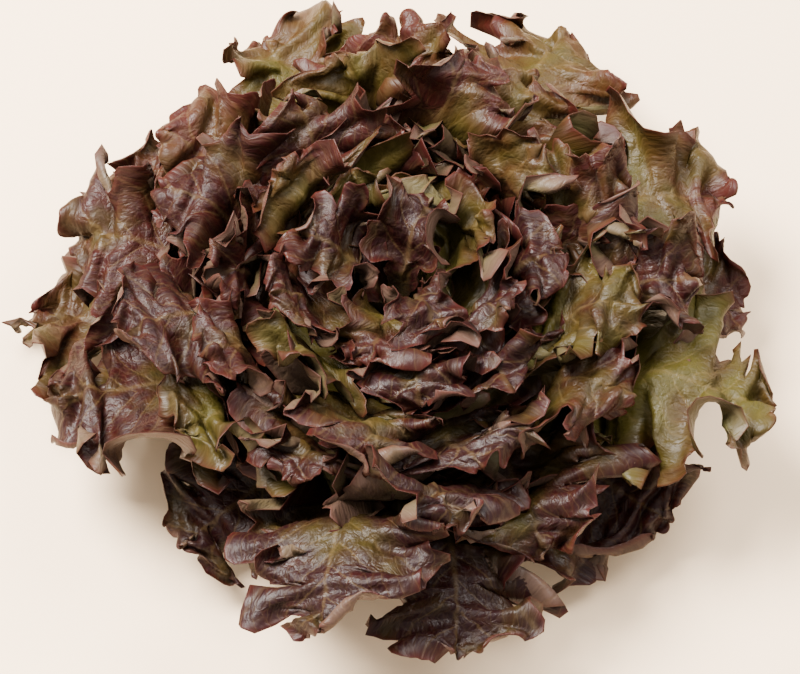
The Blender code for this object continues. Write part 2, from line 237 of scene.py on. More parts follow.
# The rib's points, the directions beside it and to the heart, and its slope, at the places along.
def ribFrames(plan):
    slope = np.interp(along, bladeForm["archPlaces"], plan["slopes"])
    heading = plan["azimuth"] + plan["swing"] * smooth(bladeForm["swingBegins"], along)
    roll = plan["roll"] * smooth(bladeForm["rollBegins"], along)
    level = np.zeros_like(along)
    flat = np.cos(slope)
    forward = np.stack([flat * np.cos(heading), flat * np.sin(heading), np.sin(slope)], 1)
    sideways = np.stack([-np.sin(heading), np.cos(heading), level], 1)
    upper = np.cross(forward, sideways)
    side = sideways * np.cos(roll)[:, None] + upper * np.sin(roll)[:, None]
    up = upper * np.cos(roll)[:, None] - sideways * np.sin(roll)[:, None]
    steps = (forward[1:] + forward[:-1]) / 2.0 * np.diff(along)[:, None] * plan["length"]
    outward = np.array([math.cos(plan["azimuth"]), math.sin(plan["azimuth"]), 0.0])
    root = outward * plan["rootRadius"] + np.array([0.0, 0.0, plan["rootHeight"]])
    points = root + np.concatenate([np.zeros((1, 3)), np.cumsum(steps, 0)])
    inward = -np.stack([np.cos(heading), np.sin(heading), level], 1)
    cup = mix(inward, up, smooth(bladeForm["cupBegins"], along)[:, None])
    cup /= np.linalg.norm(cup, axis=1)[:, None]
    return points, side, cup, slope


# Vectors read at places along the rib, each of their three parts by straight mixing.
def readAlong(values, places):
    return np.stack([np.interp(places, along, values[:, axis]) for axis in range(3)], -1)


# The middle surface on the grid u by v: each half row adds up a bend, steady round the stem and
# waved towards the margin. The lifts point to the heart.
def leafSurface(plan, u, v, notches=None):
    points, side, cup, slope = ribFrames(plan)
    distance = np.maximum(np.hypot(points[:, 0], points[:, 1]), plan["rootRadius"])
    held = mix(1.0, np.sin(slope), smooth(bladeForm["cupBegins"], along)) / distance
    steady = np.interp(u, along, held)
    away = distance / np.maximum(np.sin(np.abs(slope)), bladeForm["leastRise"])
    away = np.interp(u, along, away)
    blade = smooth(bladeForm["bladeBegins"], u)
    spots = np.zeros((len(u), len(v), 3))
    lifts = np.zeros_like(spots)
    widths = np.zeros((len(u), 2))
    sweep = bladeForm["sideSweep"] * smooth(bladeForm["sweepBegins"], u)
    sweep = sweep * (1.0 - smooth(bladeForm["sweepEnds"], u))
    rounding = bladeForm["tipRounding"] * smooth(bladeForm["tipBegins"], u)
    gap = across[1]
    start = np.zeros((len(u), 1))
    for hand, sign in ((0, -1.0), (1, 1.0)):
        width = halfWidth(plan, u, hand, away)
        if notches is not None:
            width = width * notches[:, hand]
        widths[:, hand] = width
        phase = 2.0 * math.pi * plan["waveCount"][hand] * u + plan["wavePhase"][hand]
        waves = plan["wave"][hand] * (blade * np.sin(phase))[:, None]
        bend = (steady * width)[:, None] * across + waves * across ** bladeForm["waveGrowth"]
        out = np.cumsum((np.cos(bend[:, 1:]) + np.cos(bend[:, :-1])) / 2.0, 1) * gap
        rise = np.cumsum((np.sin(bend[:, 1:]) + np.sin(bend[:, :-1])) / 2.0, 1) * gap
        out = np.concatenate([start, out], 1) * width[:, None]
        rise = np.concatenate([start, rise], 1) * width[:, None]
        for column, place in enumerate(v):
            if place * sign < 0.0 or (place == 0.0 and hand == 1):
                continue
            share = abs(place)
            places = u + sweep * share - rounding * share ** 2
            sideways, upward = readAlong(side, places), readAlong(cup, places)
            shift = np.array([np.interp(share, across, row) for row in out])[:, None]
            lift = np.array([np.interp(share, across, row) for row in rise])[:, None]
            spots[:, column] = readAlong(points, places) + sign * sideways * shift + upward * lift
            turn = (steady * width * share)[:, None]
            lifts[:, column] = upward * np.cos(turn) - sign * sideways * np.sin(turn)
    return spots, lifts / np.linalg.norm(lifts, axis=2)[..., None], widths


# Heights eased up to the lowest point by a softened maximum, s log(1 + exp(h / s)).
def aboveFloor(spots):
    eased = spots.copy()
    low, soft = headForm["lowestPoint"], headForm["floorSoftness"]
    eased[..., 2] = low + soft * np.logaddexp(0.0, (spots[..., 2] - low) / soft)
    return eased


# Two triangles for each square of the grid, cut along its shorter diagonal.
def gridTriangles(spots):
    rows, columns = spots.shape[:2]
    corner = np.arange(rows * columns).reshape(rows, columns)
    a, b = corner[:-1, :-1].reshape(-1), corner[1:, :-1].reshape(-1)
    c, d = corner[1:, 1:].reshape(-1), corner[:-1, 1:].reshape(-1)
    flat = spots.reshape(-1, 3)
    shorter = np.linalg.norm(flat[a] - flat[c], axis=1) < np.linalg.norm(flat[b] - flat[d], axis=1)
    first = np.where(shorter, [a, b, c], [a, b, d])
    second = np.where(shorter, [a, c, d], [b, c, d])
    return np.concatenate([first.T, second.T])


# A normal at each point: the sum of its triangles' cross products, made one long.
def cornerNormals(spots, triangles):
    flat = spots.reshape(-1, 3)
    p, q, r = (flat[triangles[:, corner]] for corner in range(3))
    faces = np.cross(q - p, r - p)
    normals = np.zeros_like(flat)
    for corner in range(3):
        np.add.at(normals, triangles[:, corner], faces)
    return normals / np.maximum(np.linalg.norm(normals, axis=1), 1e-12)[:, None]


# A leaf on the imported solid's own grid. It is thick at the root and along the lower rib.
def coarseLeaf(number):
    plan = leafPlan(number)
    small = number >= headForm["smallFrom"]
    rows = coarseRows(small)
    columns = coarseColumns["small" if small else "large"]
    spots, lifts, widths = leafSurface(plan, rows, columns)
    rib = np.exp(-(columns[None, :] / bladeForm["ribHalfWidth"]) ** 2)
    fade = 1.0 - smooth(bladeForm["ribFades"], rows[:, None])
    free = np.repeat(rows[:, None] > 0.0, len(columns), 1)
    return {
        "plan": plan,
        "small": small,
        "rows": rows,
        "columns": columns,
        "spots": aboveFloor(spots),
        "lifts": lifts,
        "moved": np.zeros((len(rows), len(columns))),
        "triangles": gridTriangles(spots),
        "thick": fade * mix(1.0, rib, smooth(bladeForm["ribNarrows"], rows[:, None])),
        "free": free.astype(float),
        "givesWay": (1.0 - number / headForm["leafCount"]) ** 2,
    }


# A search tree of both faces and the rim of a leaf, made thicker by the clearance.
def leafTree(leaf):
    triangles = leaf["triangles"]
    flat = leaf["spots"].reshape(-1, 3)
    thick = leaf["thick"].reshape(-1)
    thickness = mix(headForm["bladeThickness"], leaf["plan"]["rootThickness"], thick)
    half = (thickness + headForm["clearance"]) / 2.0
    shift = cornerNormals(leaf["spots"], triangles) * half[:, None]
    corners = np.concatenate([flat + shift, flat - shift])
    count = len(flat)
    grid = np.arange(count).reshape(leaf["thick"].shape)
    ring = np.concatenate([grid[0, :], grid[1:, -1], grid[-1, -2::-1], grid[-2:0:-1, 0]])
    after = np.roll(ring, -1)
    near, far = [ring, after, after + count], [ring, after + count, ring + count]
    faces = np.concatenate([triangles, triangles + count, np.stack(near, 1), np.stack(far, 1)])
    return BVHTree.FromPolygons(corners.tolist(), faces.tolist(), all_triangles=True), faces % count


# A push spread to its neighbours: each pass takes a third of a point's own value and a sixth of each
# of its four neighbours', and never less than the push itself.
def spreadPush(mask):
    field = mask
    for _ in range(headForm["spreadPasses"]):
        padded = np.pad(field, 1, mode="edge")
        ring = padded[:-2, 1:-1] + padded[2:, 1:-1] + padded[1:-1, :-2] + padded[1:-1, 2:]
        field = np.maximum(mask, (field * 2.0 + ring) / 6.0)
    return field


# Bends the leaves apart in small steps until no two cross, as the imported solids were.
def bendClear(leaves):
    for sweep in range(headForm["mostSweeps"]):
        trees = [leafTree(leaf) for leaf in leaves]
        lows = np.array([leaf["spots"].min((0, 1)) for leaf in leaves])
        highs = np.array([leaf["spots"].max((0, 1)) for leaf in leaves])
        pushes = [np.zeros((2,) + leaf["thick"].shape) for leaf in leaves]
        crossing = 0
        for outer in range(len(leaves)):
            for inner in range(outer + 1, len(leaves)):
                if (lows[outer] > highs[inner]).any() or (lows[inner] > highs[outer]).any():
                    continue
                hits = trees[outer][0].overlap(trees[inner][0])
                if not hits:
                    continue
                crossing += 1
                hits = np.array(hits)
                pushes[outer][0].reshape(-1)[trees[outer][1][hits[:, 0]].reshape(-1)] = 1.0
                pushes[inner][1].reshape(-1)[trees[inner][1][hits[:, 1]].reshape(-1)] = 1.0
        if not crossing:
            return sweep
        for leaf, (outward, inward) in zip(leaves, pushes):
            amount = spreadPush(inward) * leaf["givesWay"] - spreadPush(outward)
            amount = amount * headForm["pushStep"] * leaf["free"]
            leaf["moved"] += amount
            leaf["spots"] += leaf["lifts"] * amount[..., None]
            leaf["spots"][..., 2] = np.maximum(leaf["spots"][..., 2], headForm["lowestPoint"])
    return headForm["mostSweeps"]


# Names each leaf whose box isn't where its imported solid's is, and returns how many there are.
def checkPlaces(leaves):
    misplaced = 0
    for number, leaf in enumerate(leaves):
        low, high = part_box(f"leaf_{number + 1:02d}")
        flat = leaf["spots"].reshape(-1, 3)
        away = max(np.abs(flat.min(0) - low).max(), np.abs(flat.max(0) - high).max())
        if away > headForm["placeTolerance"]:
            print(f"leaf {number + 1} is {away * 1000:.1f} mm from its packed solid")
            misplaced += 1
    return misplaced


# A curve through knots read at other places: cubic pieces whose slopes are the knots' central
# differences. It works on the first axis of values.
def cubicRead(values, knots, places):
    slopes = np.gradient(values, knots, axis=0)
    at = np.clip(np.searchsorted(knots, places, side="right") - 1, 0, len(knots) - 2)
    gap = (knots[at + 1] - knots[at])[:, None]
    t = (places - knots[at])[:, None] / gap
    t2, t3 = t * t, t * t * t
    start = (2.0 * t3 - 3.0 * t2 + 1.0) * values[at] + (t3 - 2.0 * t2 + t) * gap * slopes[at]
    end = (3.0 * t2 - 2.0 * t3) * values[at + 1] + (t3 - t2) * gap * slopes[at + 1]
    return start + end


# Value noise from -1 to 1: random lattice values joined by smooth steps, one lattice square to a
# unit of x and y.
def latticeNoise(x, y, seed):
    size = 64
    lattice = np.random.default_rng(seed).uniform(-1.0, 1.0, (size, size))
    column, row = np.floor(x).astype(int), np.floor(y).astype(int)
    s, t = x - column, y - row
    s, t = s * s * (3.0 - 2.0 * s), t * t * (3.0 - 2.0 * t)
    column, nextColumn, row, nextRow = column % size, (column + 1) % size, row % size, (row + 1) % size
    low = mix(lattice[column, row], lattice[nextColumn, row], s)
    high = mix(lattice[column, nextRow], lattice[nextColumn, nextRow], s)
    return mix(low, high, t)


# What the eye sees on a blade: frills that grow to the margin, teeth, blisters and veins. Lengths,
# heights, depths, widths and pitches are metres. What begins or fades does so over a span of the
# blade's length, and the others are shares, slopes or powers, or as noted.
bladeDetail = {
    "largeGrid": (109, 53),
    "smallGrid": (73, 41),
    "columnCrowding": 1.35,
    "frillLengths": (0.038, 0.0190, 0.0090),
    "frillHeights": (0.0054, 0.0068, 0.0044),
    "frillDepths": (0.030, 0.010, 0.0048),
    "frillWander": (2.2, 0.03),  # frill lengths along the margin, metres in from it
    "frillSwell": (2.7, 0.05),
    "swellShares": (0.65, 0.55),
    "wanderTurn": 1.5,  # radians
    "depthTurn": 0.7,  # radians
    "foldShare": 0.085,
    "lobeCurls": (-0.30, 0.48),
    "curlPower": 1.7,
    "smallLobeLength": 0.0160,
    "smallLobeDepth": 0.48,
    "smallLobeWander": (1.7, 1.6),  # small lobes' lengths, radians
    "smallLobeSwell": (1.3, 0.65, 0.55),  # small lobes' lengths, mean share, added share
    "smallLobePhases": 6.28,
    "notchPower": 2.6,
    "cornerSoftness": 0.004,
    "tipMargin": (0.82, 1.0),
    "tipTurn": (-0.006, 0.006),
    "middleBlend": (-0.12, 0.12),
    "frillsBegin": (0.24, 0.45),
    "heartFrills": 0.70,
    "toothLengths": (0.0100, 0.0042),
    "toothHeights": (0.0026, 0.0023),
    "toothDepth": 0.0050,
    "toothWander": 2.0,  # tooth lengths
    "toothLevel": 0.6,
    "blisterLength": 0.0052,
    "blisterHeight": 0.0021,
    "blisterGap": 0.7,
    "veinPitch": 0.0135,
    "veinSlant": 0.80,
    "veinCurve": 6.0,  # per metre
    "veinAcross": 0.78,  # the cosine of the veins' slant
    "veinWidth": 0.0010,
    "veinNarrows": (1.25, 0.75),
    "veinsBegin": (0.12, 0.3),
    "branchSlant": 1.7,
    "branchPitch": 0.0082,
    "veinDepth": 0.00045,
    "ribWidths": (0.0030, 0.0009),
    "ribNarrowing": 1.15,
    "ribHeights": (0.0020, 0.0003),
    "ribLowering": 1.2,
    "veinRelief": 0.00035,
    "thickness": 0.00050,
    "rimThinning": 0.45,
    "rimDepth": 0.003,
    "rootFades": (0.0, 0.12),
    "rootShare": 0.35,
    "boxAllowance": np.array([0.006, 0.006, 0.0028]),
    "boxSoftness": 0.0035,
    "lowestBlade": 0.0012,
    "lowestUnderside": 0.0004,
}


# Each side's width share where the lobes are divided again: 1 less notches, which are a power of a
# wandering cosine along the leaf.
def smallLobes(plan, u, draw):
    length = bladeDetail["smallLobeLength"]
    wanderLength, wanderTurn = bladeDetail["smallLobeWander"]
    swellLength, level, spread = bladeDetail["smallLobeSwell"]
    shares = []
    for hand in range(2):
        seed = int(draw.integers(1 << 30))
        wander = latticeNoise(u * plan["length"] / (wanderLength * length), u * 0.0, seed)
        swell = latticeNoise(u * plan["length"] / (swellLength * length), u * 0.0, seed + 1)
        size = level + spread * swell
        phase = 2.0 * math.pi * u * plan["length"] / length + wanderTurn * wander
        phase = phase + draw.uniform(0.0, bladeDetail["smallLobePhases"])
        notch = (0.5 - 0.5 * np.cos(phase)) ** bladeDetail["notchPower"] * size
        shares.append(1.0 - bladeDetail["smallLobeDepth"] * notch * smooth(bladeForm["lobesBegin"], u))
    return np.stack(shares, 1)


# Fields over the blade, all in metres: the distance in from the margin, which is a softened least of
# the distances to the side and the tip, and the distance along it, which runs up each side and then
# across the tip.
def marginFields(plan, u, v, widths):
    soft = bladeDetail["cornerSoftness"]
    side = mix(widths[:, :1], widths[:, 1:], (v[None, :] > 0.0).astype(float))
    fromSide = (1.0 - np.abs(v))[None, :] * side
    fromTip = ((1.0 - u) * plan["length"])[:, None] + np.zeros_like(side)
    inwards = -soft * np.logaddexp(-fromSide / soft, -fromTip / soft)
    corner = soft * math.log(2.0) * np.exp(-np.abs(fromSide - fromTip) / soft)
    inwards = np.maximum(inwards + corner, 0.0)
    upSide = u[:, None] * plan["length"] + np.zeros_like(side)
    alongMargin = mix(upSide, plan["length"] + fromSide, smooth(bladeDetail["tipMargin"], u)[:, None])
    return inwards, alongMargin, fromSide, fromTip, side


# A sum of sines along the margin for one side: wandering phase, changing height. The second field
# moves points along the margin by -sin(2 phase), which makes the folds overhang.
def frillField(alongMargin, inwards, draw, strength):
    total = np.zeros_like(alongMargin)
    folds = np.zeros_like(alongMargin)
    lengths, heights = bladeDetail["frillLengths"], bladeDetail["frillHeights"]
    wanderAlong, wanderInwards = bladeDetail["frillWander"]
    swellAlong, swellInwards = bladeDetail["frillSwell"]
    level, spread = bladeDetail["swellShares"]
    for length, height, depth in zip(lengths, heights, bladeDetail["frillDepths"]):
        seed = int(draw.integers(1 << 30))
        wander = latticeNoise(alongMargin / (wanderAlong * length), inwards / wanderInwards, seed)
        swell = latticeNoise(alongMargin / (swellAlong * length), inwards / swellInwards, seed + 1)
        swell = level + spread * swell
        phase = 2.0 * math.pi * alongMargin / length + draw.uniform(0.0, 2.0 * math.pi)
        phase = phase + bladeDetail["wanderTurn"] * wander - bladeDetail["depthTurn"] * inwards / depth
        fading = strength * swell * np.exp(-inwards / depth)
        total += height * fading * np.sin(phase)
        folds -= bladeDetail["foldShare"] * length * fading * np.sin(2.0 * phase)
    return np.stack([total, folds])


# Each lobe curls towards the heart or away from it: a power of the share across, times its own share
# of the blade's half width.
def lobeCurls(plan, u, v, side, draw):
    curls = draw.uniform(*bladeDetail["lobeCurls"], (2, len(lobePlaces)))
    left, right = (np.interp(u, lobePlaces, curls[hand])[:, None] for hand in range(2))
    share = np.abs(v)[None, :] ** bladeDetail["curlPower"]
    return mix(left, right, (v[None, :] > 0.0).astype(float)) * share * side


# Teeth point out of the margin: rounded humps, the absolute value of a sine, fading inwards.
def toothField(alongMargin, inwards, draw):
    total = np.zeros_like(alongMargin)
    for length, height in zip(bladeDetail["toothLengths"], bladeDetail["toothHeights"]):
        seed = int(draw.integers(1 << 30))
        wander = latticeNoise(alongMargin / (bladeDetail["toothWander"] * length), inwards * 0.0, seed)
        phase = math.pi * alongMargin / length + draw.uniform(0.0, math.pi) + wander
        total += height * (np.abs(np.sin(phase)) - bladeDetail["toothLevel"])
    return total * np.exp(-inwards / bladeDetail["toothDepth"])


# Lateral veins leave the midrib at even steps, slant forward and curve. A vein and the rib are bells,
# exp(-(distance / width)^2). Returned with them are the step counts of the lateral veins and of their
# branches, and the distance from the rib in its widths, which the skin draws its lines from.
def veinField(plan, u, v, side):
    aside = np.abs(v)[None, :] * side
    forward = u[:, None] * plan["length"]
    stagger = 0.5 * (v[None, :] > 0.0)
    step = forward - bladeDetail["veinSlant"] * aside + bladeDetail["veinCurve"] * aside ** 2
    step = step / bladeDetail["veinPitch"] + stagger
    off = np.abs(step - np.floor(step) - 0.5) * bladeDetail["veinPitch"] * bladeDetail["veinAcross"]
    widest, narrowing = bladeDetail["veinNarrows"]
    width = bladeDetail["veinWidth"] * (widest - narrowing * np.abs(v)[None, :])
    lateral = np.exp(-(off / width) ** 2) * smooth(bladeDetail["veinsBegin"], u)[:, None]
    ribWidth = mix(*bladeDetail["ribWidths"], np.clip(u * bladeDetail["ribNarrowing"], 0.0, 1.0))[:, None]
    rib = np.exp(-(aside / ribWidth) ** 2)
    branch = (forward - bladeDetail["branchSlant"] * aside) / bladeDetail["branchPitch"] + stagger
    return lateral, rib, step, branch, aside / ribWidth


# The left half's field eased into the right half's across the midrib.
def sideBlend(left, right, v):
    return mix(left, right, smooth(bladeDetail["middleBlend"], v))


# Vectors made one long.
def unitVectors(vectors):
    return vectors / np.maximum(np.linalg.norm(vectors, axis=2), 1e-9)[..., None]


# The cross product of the grid's two directions, one long and on the side that the lifts point to.
def gridNormals(spots, lifts):
    alongU = np.gradient(spots, axis=0)
    alongV = np.gradient(spots, axis=1)
    normals = np.cross(alongU, alongV)
    normals /= np.maximum(np.linalg.norm(normals, axis=2), 1e-12)[..., None]
    facing = np.sign((normals * lifts).sum(2).mean())
    return normals * facing, alongU, alongV


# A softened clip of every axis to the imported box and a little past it.
def insideBox(spots):
    soft = bladeDetail["boxSoftness"]
    lowest = np.array(cadBox[0]) - bladeDetail["boxAllowance"]
    lowest[2] = max(lowest[2], bladeDetail["lowestBlade"])
    highest = np.array(cadBox[1]) + bladeDetail["boxAllowance"]
    spots = lowest + soft * np.logaddexp(0.0, (spots - lowest) / soft)
    return highest - soft * np.logaddexp(0.0, (highest - spots) / soft)


# Blisters between the veins: half a lattice noise and half another one's absolute value.
def blisterField(number, place):
    size = bladeDetail["blisterLength"]
    plain, folded = (latticeNoise(place[0] / size, place[1] / size, [number, seed]) for seed in (5, 6))
    return 0.5 * plain + 0.5 * np.abs(folded)


# Where a blade is flushed red over its olive, and the painted shade on the near side of the head and in
# the heart.
flush = {
    "patchLength": 0.03,
    "outerSpan": (0.25, 0.85),
    "outerShare": 0.55,
    "marginShare": 0.45,
    "marginDepth": 0.012,
    "patchShare": 0.30,
    "tintShare": 0.22,
    "level": 0.02,
    # Painted shade: its share in the redness, its level in the heart, and the share of the leaf's random
    # tint mixed into it.
    "paintedShadeShare": 0.34,
    "heartPaintedShade": 0.75,
    "tintInPaintedShade": 0.2,
}


# Redness adds up shares of the place along the blade, the nearness of the margin, soft patches, the
# leaf's own tint and a painted shade, which is darkest on the near side of the head and strong in the
# heart; the painted shade is returned too and also makes shaded leaves redder.
def flushFields(plan, number, u, inwards, place, draw):
    size = flush["patchLength"]
    patch = latticeNoise(place[0] / size, place[1] / size, [number, 7])
    tint = draw.uniform(-1.0, 1.0)
    exposed = smooth(flush["outerSpan"], u)[:, None] * flush["outerShare"]
    exposed = exposed + flush["marginShare"] * np.exp(-inwards / flush["marginDepth"])
    # Painted shade: darkest on the near side of the head, strong in the heart, lightest at the back, with
    # the leaf's random tint added.
    nearSideShade = 0.5 - 0.5 * math.sin(plan["azimuth"])
    paintedShadeAndTint = mix(nearSideShade, flush["heartPaintedShade"], plan["age"]) + flush["tintInPaintedShade"] * tint
    redness = exposed + flush["patchShare"] * patch + flush["tintShare"] * tint
    redness = redness + flush["level"] + flush["paintedShadeShare"] * paintedShadeAndTint
    return np.clip(redness, 0.0, 1.0), np.full_like(redness, np.clip(paintedShadeAndTint, 0.0, 1.0))


# Where the skin's lines show.
lineShow = {"veinsShow": (0.10, 0.3), "veinFading": 0.5, "branchesShow": (0.2, 0.5), "edgeWidth": 0.0010}


# A fine blade on the coarse leaf's surface, moved as far as that leaf was. Frills, lobe curls and
# blisters lift it along its normals, and teeth and folds move it beside them. Its two faces lie half
# a thickness off, and the lower one stands out along the rib and the veins.
def fineLeaf(number, leaf):
    plan, draw = leaf["plan"], np.random.default_rng([headForm["seed"] + 2, number])
    rowCount, columnCount = bladeDetail["smallGrid" if leaf["small"] else "largeGrid"]
    u = np.linspace(0.0, 1.0, rowCount)
    t = np.linspace(-1.0, 1.0, columnCount)
    v = np.sign(t) * (1.0 - (1.0 - np.abs(t)) ** bladeDetail["columnCrowding"])
    spots, lifts, widths = leafSurface(plan, u, v, smallLobes(plan, u, draw))
    moved = cubicRead(leaf["moved"], leaf["rows"], u)
    moved = cubicRead(moved.T, leaf["columns"], v).T
    spots = aboveFloor(spots) + lifts * moved[..., None]
    inwards, alongMargin, fromSide, fromTip, side = marginFields(plan, u, v, widths)
    strength = mix(1.0, bladeDetail["heartFrills"], plan["age"])
    frills, folds = sideBlend(*(frillField(alongMargin, inwards, draw, strength) for _ in range(2)), v)
    teeth = sideBlend(*(toothField(alongMargin, inwards, draw) for _ in range(2)), v)
    curls = lobeCurls(plan, u, v, side, draw)
    blade = smooth(bladeDetail["frillsBegin"], u)[:, None]
    lateral, rib, veinStep, branchStep, ribAside = veinField(plan, u, v, side)
    place = np.broadcast_arrays(u[:, None] * plan["length"], v[None, :] * side)
    relief = bladeDetail["blisterHeight"] * blisterField(number, place) * blade
    relief = relief * (1.0 - bladeDetail["blisterGap"] * lateral)
    relief = relief - bladeDetail["veinDepth"] * lateral * blade
    normals, alongU, alongV = gridNormals(spots, lifts)
    outU = unitVectors(alongU)
    outV = unitVectors(alongV) * np.sign(v)[None, :, None]
    tipShare = smooth(bladeDetail["tipTurn"], fromSide - fromTip)[..., None]
    outward = mix(outV, outU, tipShare)
    beside = mix(outU, -outV, tipShare)
    spots = spots + normals * ((frills + curls) * blade + relief)[..., None]
    spots = spots + outward * (teeth * blade)[..., None] + beside * (folds * blade)[..., None]
    spots = insideBox(spots)
    normals, _, _ = gridNormals(spots, lifts)
    lowering = np.clip(u * bladeDetail["ribLowering"], 0.0, 1.0)
    ribHeight = mix(*bladeDetail["ribHeights"], lowering)[:, None]
    rootShare = 1.0 - smooth(bladeDetail["rootFades"], u)[:, None]
    root = rootShare * plan["rootThickness"] * bladeDetail["rootShare"]
    half = bladeDetail["thickness"] / 2.0
    half = half * (1.0 - bladeDetail["rimThinning"] * np.exp(-inwards / bladeDetail["rimDepth"]) * blade)
    below = half + ribHeight * rib + bladeDetail["veinRelief"] * lateral * blade + root
    upper = spots + normals * (half + root)[..., None]
    lower = spots - normals * below[..., None]
    lower[..., 2] = np.maximum(lower[..., 2], bladeDetail["lowestUnderside"])
    redness, paintedShadeAndTint = flushFields(plan, number, u, inwards, place, draw)
    aside = np.abs(v)[None, :]
    fields = {
        "veinStep": veinStep,
        "branchStep": branchStep,
        "ribAside": ribAside,
        "veinShare": smooth(lineShow["veinsShow"], u)[:, None] * (1.0 - lineShow["veinFading"] * aside),
        "branchShare": blade * smooth(lineShow["branchesShow"], aside),
        "edgeShare": np.exp(-inwards / lineShow["edgeWidth"]) * blade,
        "redness": redness,
        "paintedShadeAndTint": paintedShadeAndTint,
    }
    return upper, lower, fields, place


# The faces of a closed wall: one grid, the other one turned over, and a rim that joins them.
def wallQuads(rows, columns):
    corner = np.arange(rows * columns).reshape(rows, columns)
    count = rows * columns
    quads = np.stack([corner[:-1, :-1], corner[1:, :-1], corner[1:, 1:], corner[:-1, 1:]], -1)
    quads = quads.reshape(-1, 4)
    ring = np.concatenate([corner[0, :], corner[1:, -1], corner[-1, -2::-1], corner[-2:0:-1, 0]])
    after = np.roll(ring, -1)
    rim = np.stack([ring, ring + count, after + count, after], 1)
    return np.concatenate([quads, quads[:, ::-1] + count, rim[:, ::-1]])


# The same faces, turned over if the first few hundred of the upper ones point to the lower face.
def facingOut(quads, corners, thickness):
    tested = quads[:200]
    a, b, c = (corners[tested[:, corner]] for corner in range(3))
    facing = (np.cross(b - a, c - a) * thickness.reshape(-1, 3)[tested[:, 0]]).sum()
    return quads[:, ::-1] if facing < 0.0 else quads


# A smooth mesh from an array of corners and an array of quads.
def meshFromArrays(name, corners, quads):
    mesh = bpy.data.meshes.new(name)
    mesh.vertices.add(len(corners))
    mesh.vertices.foreach_set("co", np.ascontiguousarray(corners, dtype=np.float32).reshape(-1))
    mesh.loops.add(quads.size)
    mesh.loops.foreach_set("vertex_index", np.ascontiguousarray(quads, dtype=np.int32).reshape(-1))
    mesh.polygons.add(len(quads))
    mesh.polygons.foreach_set("loop_start", np.arange(0, quads.size, 4, dtype=np.int32))
    mesh.update(calc_edges=True)
    mesh.shade_smooth()
    return mesh


# A piece at the origin, with its place in its mesh.
def addObject(name, mesh, look):
    piece = bpy.data.objects.new(name, mesh)
    bpy.context.scene.collection.objects.link(piece)
    mesh.materials.append(look)
    return piece


# The skin's map holds the distances along and across the blade in metres. Each leaf has its own part
# of it, and so has each leaf's underside.
leafMap = {"leafStep": 0.31, "start": 0.1, "underside": 0.5}


def makeLeaf(number, leaf, looks):
    upper, lower, fields, place = fineLeaf(number, leaf)
    rows, columns = upper.shape[:2]
    corners = np.concatenate([upper.reshape(-1, 3), lower.reshape(-1, 3)])
    quads = facingOut(wallQuads(rows, columns), corners, upper - lower)
    mesh = meshFromArrays(f"leafBlade{number + 1:02d}", corners, quads)
    top = np.stack([np.ones((rows, columns)), np.zeros((rows, columns))])
    for name, field in fields.items():
        values = np.concatenate([field.reshape(-1)] * 2).astype(np.float32)
        mesh.attributes.new(name, "FLOAT", "POINT").data.foreach_set("value", values)
    values = top.reshape(-1).astype(np.float32)
    mesh.attributes.new("upperShare", "FLOAT", "POINT").data.foreach_set("value", values)
    flat = np.stack([place[0] + leafMap["leafStep"] * number, place[1] + leafMap["start"]], -1)
    flat = flat.reshape(-1, 2)
    flat = np.concatenate([flat, flat + [0.0, leafMap["underside"]]])
    mapped = flat[quads.reshape(-1)].astype(np.float32).reshape(-1)
    mesh.uv_layers.new(name="leafMap").data.foreach_set("uv", mapped)
    piece = addObject(mesh.name, mesh, looks["olive" if isOlive(number) else "red"])
    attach(piece, "root")
    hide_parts(f"leaf_{number + 1:02d}")
    return piece


# An sRGB hex colour turned to linear.
def linear(hexColour):
    channels = [int(hexColour[at:at + 2], 16) / 255.0 for at in (1, 3, 5)]
    channels = [c / 12.92 if c <= 0.04045 else ((c + 0.055) / 1.055) ** 2.4 for c in channels]
    return (*channels, 1.0)


# A node with its settings, and each named input linked if its value is a socket and set if not.
def addNode(tree, kind, values=None, **settings):
    node = tree.nodes.new(kind)
    for name, value in settings.items():
        setattr(node, name, value)
    for name, value in (values or {}).items():
        if isinstance(value, bpy.types.NodeSocket):
            tree.links.new(value, node.inputs[name])
        else:
            node.inputs[name].default_value = value
    return node


def newMaterial(name):
    material = bpy.data.materials.new(name)
    material.use_nodes = True
    tree = material.node_tree
    tree.nodes.clear()
    output = addNode(tree, "ShaderNodeOutputMaterial")
    shader = addNode(tree, "ShaderNodeBsdfPrincipled")
    tree.links.new(shader.outputs[0], output.inputs[0])
    return material, tree, shader


def mixColour(tree, share, first, second):
    return addNode(tree, "ShaderNodeMix", {0: share, 6: first, 7: second}, data_type="RGBA").outputs[2]


# A value turned from the span low to high to the span start to end, and held at its ends.
def spanned(tree, value, low, high, start=0.0, end=1.0):
    node = addNode(tree, "ShaderNodeMapRange", {0: value, 1: low, 2: high, 3: start, 4: end})
    return node.outputs[0]


def maths(tree, operation, first, second):
    return addNode(tree, "ShaderNodeMath", {0: first, 1: second}, operation=operation).outputs[0]


